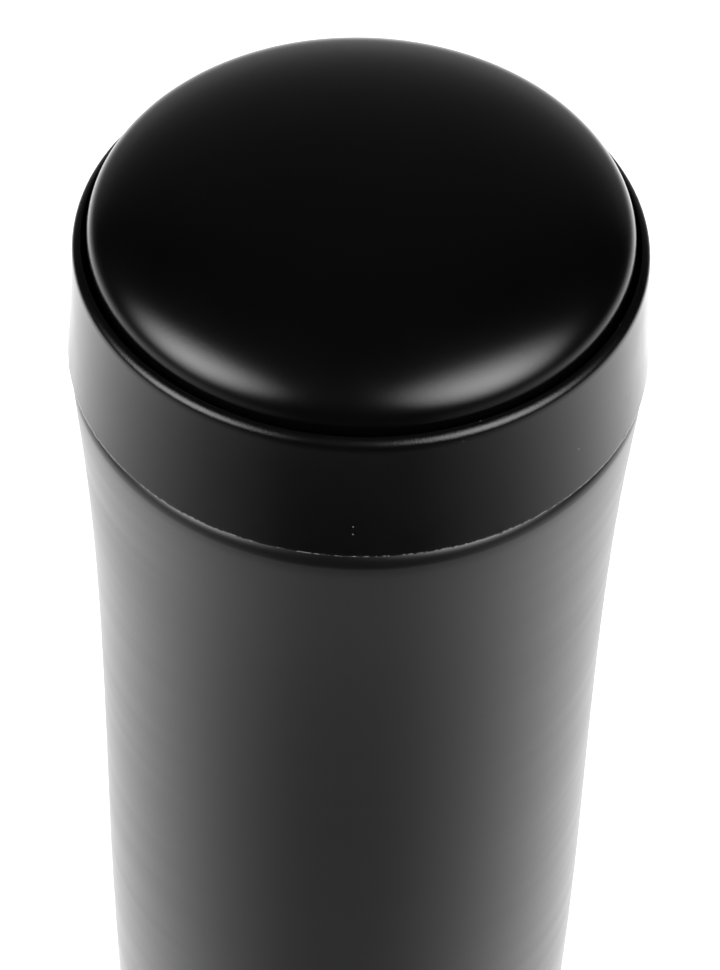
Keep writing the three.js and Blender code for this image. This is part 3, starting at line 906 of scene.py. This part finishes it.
def add_floor():
    """The plain pale floor. The flask's gloss mirrors the world in its place."""
    made = bmesh.new()
    bmesh.ops.create_circle(made, cap_ends=True, segments=96, radius=4)
    mesh = bpy.data.meshes.new("floor")
    made.to_mesh(mesh)
    made.free()
    floor = bpy.data.objects.new("floor", mesh)
    bpy.context.scene.collection.objects.link(floor)
    floor.location.z = -0.0002
    paint = Shader("floor_paint", (0.88, 0.88, 0.88), 0.8, specular=0.1)
    paint.colour_mix(paint.noise(30, 3.0), (0.875, 0.875, 0.875), (0.885, 0.885, 0.885))
    mesh.materials.append(paint.material)
    floor.visible_glossy = False


# ---- joined and cut pieces ----------------------------------------------------------------------


def block(corner, opposite):
    """A box between two corners, in millimetres."""
    made = bmesh.new()
    bmesh.ops.create_cube(made, size=1)
    size = Vector(opposite) - Vector(corner)
    middle = (Vector(opposite) + Vector(corner)) / 2
    place = Matrix.Translation(middle * MM) @ Matrix.Diagonal((*(size * MM), 1))
    bmesh.ops.transform(made, matrix=place, verts=made.verts)
    return made


def plate_facing_y(outline, front_y, back_y):
    """An outline of (x, z) points as thick as the stretch from front_y to back_y."""
    made = bmesh.new()
    count = len(outline)
    front = [made.verts.new((x * MM, front_y * MM, z * MM)) for x, z in outline]
    back = [made.verts.new((x * MM, back_y * MM, z * MM)) for x, z in outline]
    made.faces.new(front)
    made.faces.new(back[::-1])
    for i in range(count):
        j = (i + 1) % count
        made.faces.new((front[j], front[i], back[i], back[j]))
    bmesh.ops.recalc_face_normals(made, faces=made.faces)
    return made


def bar_along_y(outline, z):
    """A round bar along Y at height z, from (radius, y) corners that start and end on its axis."""
    made = turn_outline(rounded(outline, closed=False), 48)
    lay_down = Matrix.Translation((0, 0, z * MM)) @ Matrix.Rotation(-math.pi / 2, 4, "X")
    bmesh.ops.transform(made, matrix=lay_down, verts=made.verts)
    bmesh.ops.recalc_face_normals(made, faces=made.faces)
    return made


def round_bar(radius_mm, low_z, high_z, segments):
    """An upright cylinder on the axis."""
    outline = [(0, low_z), (radius_mm, low_z), (radius_mm, high_z), (0, high_z)]
    made = turn_outline(rounded(outline, closed=False), segments)
    bmesh.ops.recalc_face_normals(made, faces=made.faces)
    return made


def arc_points(centre_x, centre_z, radius_mm, start, end, steps):
    angles = [math.radians(start + (end - start) * i / steps) for i in range(steps + 1)]
    return [(centre_x + radius_mm * math.cos(a), centre_z + radius_mm * math.sin(a)) for a in angles]


def carved(base, joins=(), cuts=(), added=(), bevel=0.15):
    """A bmesh of base with others joined to it, cut from it and added, and its sharp edges rounded."""
    helpers = []
    for part in (base, *joins, *cuts, *added):
        mesh = bpy.data.meshes.new("helper")
        bmesh.ops.recalc_face_normals(part, faces=part.faces)
        part.to_mesh(mesh)
        part.free()
        helper = bpy.data.objects.new("helper", mesh)
        bpy.context.scene.collection.objects.link(helper)
        helpers.append(helper)
    whole = helpers[0]
    for i, tool in enumerate(helpers[1:]):
        change = whole.modifiers.new("change", "BOOLEAN")
        is_cut = len(joins) <= i < len(joins) + len(cuts)
        change.operation = "DIFFERENCE" if is_cut else "UNION"
        change.solver = "EXACT"
        change.object = tool
    if bevel:
        soften = whole.modifiers.new("soften", "BEVEL")
        soften.width = bevel * MM
        soften.segments = 3
        soften.limit_method = "ANGLE"
        soften.angle_limit = math.radians(40)
        soften.use_clamp_overlap = False
    graph = bpy.context.evaluated_depsgraph_get()
    mesh = bpy.data.meshes.new_from_object(whole.evaluated_get(graph))
    made = bmesh.new()
    made.from_mesh(mesh)
    bmesh.ops.remove_doubles(made, verts=made.verts, dist=0.0005 * MM)
    bmesh.ops.dissolve_degenerate(made, edges=made.edges, dist=0.0005 * MM)
    bpy.data.meshes.remove(mesh)
    for helper in helpers:
        data = helper.data
        bpy.data.objects.remove(helper)
        bpy.data.meshes.remove(data)
    return made


def add_guide():
    """Cup for the spring and latch, held in the plug by a ring and four spokes."""
    ring_low, ring_high = 168.3, 171.3
    ring_r = PLUG_BORE_R - 0.3
    ring = [(28.2, ring_low), (ring_r, ring_low), (ring_r, ring_high), (28.2, ring_high)]
    cup = [
        (STEM_HOLE_R, GUIDE_LOW_Z),
        (GUIDE_CUP_R, GUIDE_LOW_Z, 1),
        (GUIDE_CUP_R, GUIDE_HIGH_Z),
        (GUIDE_CUP_R - 1.5, GUIDE_HIGH_Z),
        (GUIDE_CUP_R - 1.5, GUIDE_FLOOR_Z),
        (STEM_HOLE_R, GUIDE_FLOOR_Z),
        (STEM_HOLE_R, 166.7),
        (5.8, 166.7),
        (5.8, 164.5),
        (STEM_HOLE_R, 164.5),
    ]
    joins = [turn_outline(rounded(ring), 128)]
    for degrees in (45, 135, 225, 315):
        spoke = block((GUIDE_CUP_R - 0.7, -1.5, ring_low), (29, 1.5, ring_high))
        bmesh.ops.transform(spoke, matrix=Matrix.Rotation(math.radians(degrees), 4, "Z"), verts=spoke.verts)
        joins.append(spoke)
    joins.append(block((-3, -9.4, GUIDE_FLOOR_Z - 0.5), (3, -7.4, ARM_PIVOT_Z + 3)))
    bore_r = LATCH_PIN_R + 0.2
    bore = bar_along_y([(0, -10.5), (bore_r, -10.5), (bore_r, -6.5), (0, -6.5)], ARM_PIVOT_Z)
    made = carved(turn_outline(rounded(cup), 128), joins, [bore])
    finish_mesh("plunger_guide", made, "lid", "mechanism_plastic")

    seal = [
        (3.8, 164.75, 0.2),
        (5.6, 164.75, 0.35),
        (5.65, 166.5, 0.25),
        (5.1, 166.5, 0.2),
        (4.9, 165.7, 0.3),
        (4.5, 165.7, 0.3),
        (4.3, 166.5, 0.2),
        (3.8, 166.4, 0.2),
    ]
    turned("stem_seal", seal, "lid", "silicone", 96)

    pin = [(0, -9.2), (LATCH_PIN_R, -9.2, 0.25), (LATCH_PIN_R, -5.3), (0.85, -4.9, 0.1), (0, -4.9)]
    finish_mesh("latch_pin", bar_along_y(pin, ARM_PIVOT_Z), "lid", "spring_steel")


def add_latch_arm():
    """Swinging arm whose follower runs in the stem's heart-shaped track."""
    top = ARM_PIVOT_Z + ARM_LENGTH
    outline = arc_points(0, top, 1.5, 0, 180, 16) + arc_points(0, ARM_PIVOT_Z, 2.1, 180, 360, 24)
    plate = plate_facing_y(outline, ARM_Y, ARM_Y + ARM_THICKNESS)
    follower = [
        (0, ARM_Y + ARM_THICKNESS - 0.5),
        (FOLLOWER_R, ARM_Y + ARM_THICKNESS - 0.5),
        (FOLLOWER_R, -3.4, 0.3),
        (0, -3.4),
    ]
    bore_r = LATCH_PIN_R + 0.3
    bore_front, bore_back = ARM_Y - 1, ARM_Y + 3
    bore_outline = [(0, bore_front), (bore_r, bore_front), (bore_r, bore_back), (0, bore_back)]
    bore = bar_along_y(bore_outline, ARM_PIVOT_Z)
    pocket = arc_points(0, top - 3, 0.75, 0, 180, 10) + arc_points(0, ARM_PIVOT_Z + 3.6, 0.95, 180, 360, 10)
    recess = plate_facing_y(pocket, ARM_Y - 1, ARM_Y + 0.5)
    made = carved(plate, [bar_along_y(follower, top)], [bore, recess])
    finish_mesh("latch_arm", made, "latch_arm", "mechanism_plastic")


def add_stem():
    """Flange, square part with the latch's track, and round part down to the valve."""
    stem_low, stem_high = low("stem"), high("stem")
    square = block(
        (-STEM_WIDTH / 2, -STEM_DEPTH / 2, STEM_SQUARE_Z),
        (STEM_WIDTH / 2, STEM_DEPTH / 2, stem_high - 1.7),
    )
    flange = round_bar(STEM_FLANGE_R, stem_high - 2, stem_high, 96)
    post = round_bar(STEM_R, stem_low, STEM_SQUARE_Z + 1, 64)
    screw_hole = round_bar(1.7, stem_low - 1, 164.5, 48)
    rest_z = ARM_PIVOT_Z + ARM_LENGTH
    right_side = [(1.5, -1.4, 0.6), (4.1, 4.6, 0.8), (4.1, 6.5, 0.8)]
    left_side = [(-x, z, fillet) for x, z, fillet in right_side[::-1]]
    loop = [(x, z + rest_z) for x, z in rounded(right_side + left_side)]
    heart = [(0, 2.6, 0.3), (1, 4.6, 0.25), (0, 4, 0.2), (-1, 4.6, 0.25)]
    island_outline = [(x, z + rest_z) for x, z in rounded(heart)]
    track_floor_y = -STEM_DEPTH / 2 + 1.5
    track = plate_facing_y(loop, -STEM_DEPTH / 2 - 1, track_floor_y)
    island = plate_facing_y(island_outline, -STEM_DEPTH / 2, track_floor_y + 0.5)
    softened = carved(square, [flange, post], [track], [island], 0.1)
    made = carved(softened, cuts=[screw_hole], bevel=0)
    finish_mesh("stem", made, "push_button", "mechanism_plastic")


def add_screw():
    """Cross-head screw that holds the valve on the stem."""
    head_z = low("stem_screw")
    pitch = 0.5
    thread_depth = 0.26
    outline = [(0, head_z), (2.4, head_z, 0.5), (3.6, head_z + 0.8, 0.3), (3.6, head_z + 1.5, 0.1)]
    outline += [(SCREW_R, head_z + 1.5)] + wall_rows(SCREW_R, head_z + 2, SCREW_TOP_Z - 0.9, 0.12)
    outline += [(SCREW_R - 0.5, SCREW_TOP_Z, 0.2), (0, SCREW_TOP_Z)]

    def screw_thread(r, z, angle):
        if abs(r - SCREW_R) > 0.01 or z < head_z + 1.9:
            return r, z
        turns = z / pitch - angle / FULL
        return SCREW_R - thread_depth * abs(2 * (turns % 1) - 1), z

    shank = turn_outline(rounded(outline, closed=False), 48, screw_thread)
    cuts = []
    for quarter in (0, 1):
        arm = block((-2, -0.42, head_z - 1), (2, 0.42, head_z + 0.85))
        for vertex in arm.verts:
            if vertex.co.z > head_z * MM:
                vertex.co.x *= 0.55
        bmesh.ops.transform(arm, matrix=Matrix.Rotation(quarter * math.pi / 2, 4, "Z"), verts=arm.verts)
        cuts.append(arm)
    finish_mesh("stem_screw", carved(shank, [], cuts, bevel=0), "push_button", "spring_steel")


def add_spring():
    """Coil whose turns close up at both ends, which are ground flat."""
    ground = 0.35
    steps_per_turn = 72
    sides = 16
    made = bmesh.new()
    total = round(steps_per_turn * SPRING_TURNS)
    first_z = SPRING_LOW_Z + SPRING_WIRE_R - ground
    rise = SPRING_HIGH_Z - SPRING_LOW_Z - 2 * (SPRING_WIRE_R - ground)
    rings = []
    for i in range(total + 1):
        t = i / total
        angle = FULL * SPRING_TURNS * t
        outward = Vector((math.cos(angle), math.sin(angle), 0))
        centre = outward * SPRING_R
        centre.z = first_z + rise * (t - 0.62 * math.sin(FULL * t) / FULL)
        ring = []
        for k in range(sides):
            turn = FULL * k / sides
            point = centre + SPRING_WIRE_R * (math.cos(turn) * outward + math.sin(turn) * Vector((0, 0, 1)))
            point.z = min(max(point.z, SPRING_LOW_Z), SPRING_HIGH_Z)
            ring.append(made.verts.new(point * MM))
        rings.append(ring)
    for first, second in zip(rings, rings[1:]):
        for k in range(sides):
            j = (k + 1) % sides
            made.faces.new((first[k], first[j], second[j], second[k]))
    made.faces.new(rings[0])
    made.faces.new(rings[-1][::-1])
    spring = finish_mesh("return_spring", made, "lid", "spring_steel")
    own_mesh(spring)


add_camera()
add_world()
add_softbox("left_softbox", -62, 18, 25, 0.73, 0.6, 8)
add_softbox("right_softbox", 51, 25, -25, 0.77, 0.68, 8)
add_overhead(4.6, 100)
add_floor()

add_flask()
add_lid()
add_guide()
add_latch_arm()
add_button()
add_stem()
add_screw()
add_spring()

bpy.context.scene.view_settings.view_transform = "Standard"
